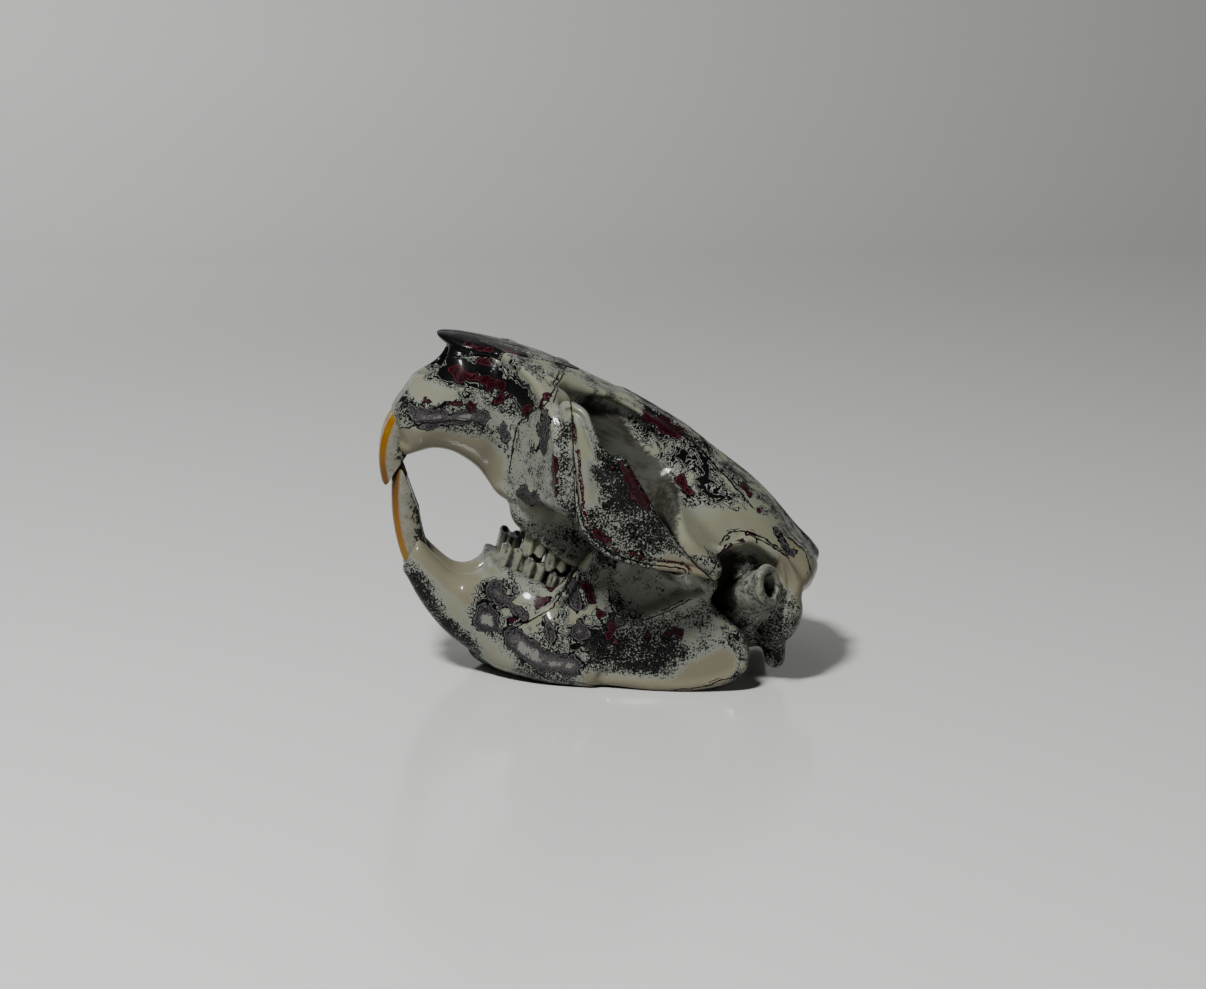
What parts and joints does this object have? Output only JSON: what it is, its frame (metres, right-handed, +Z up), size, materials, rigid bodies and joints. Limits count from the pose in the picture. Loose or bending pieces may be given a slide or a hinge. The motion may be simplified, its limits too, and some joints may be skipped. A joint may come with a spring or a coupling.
{
  "type": "beaver skull",
  "caption": "Life-size beaver skull with its lower jaw closed, tipped back to rest on the jaw, for display or study.",
  "frame": {"origin": "on the floor, under the middle of the skull's length and on its plane of symmetry", "axes": "+X towards the snout, +Y to the skull's left, +Z up"},
  "size_m": [0.1228, 0.092, 0.0948],
  "materials": {
    "bone": "bone under a glossy coat of cream, black and dark red lacquer sanded through in islands",
    "incisor": "yellow to orange enamel in front, ivory dentine on the sides, glossy"
  },
  "bodies": {
    "root": {"cranium": "bone", "cheekbone_left": "bone", "cheekbone_right": "bone", "nasal_left": "bone", "nasal_right": "bone", "mandible_left": "bone", "mandible_right": "bone", "upper_incisor_left": "incisor", "upper_incisor_right": "incisor", "lower_incisor_left": "incisor", "lower_incisor_right": "incisor"}
  },
  "joints": []
}
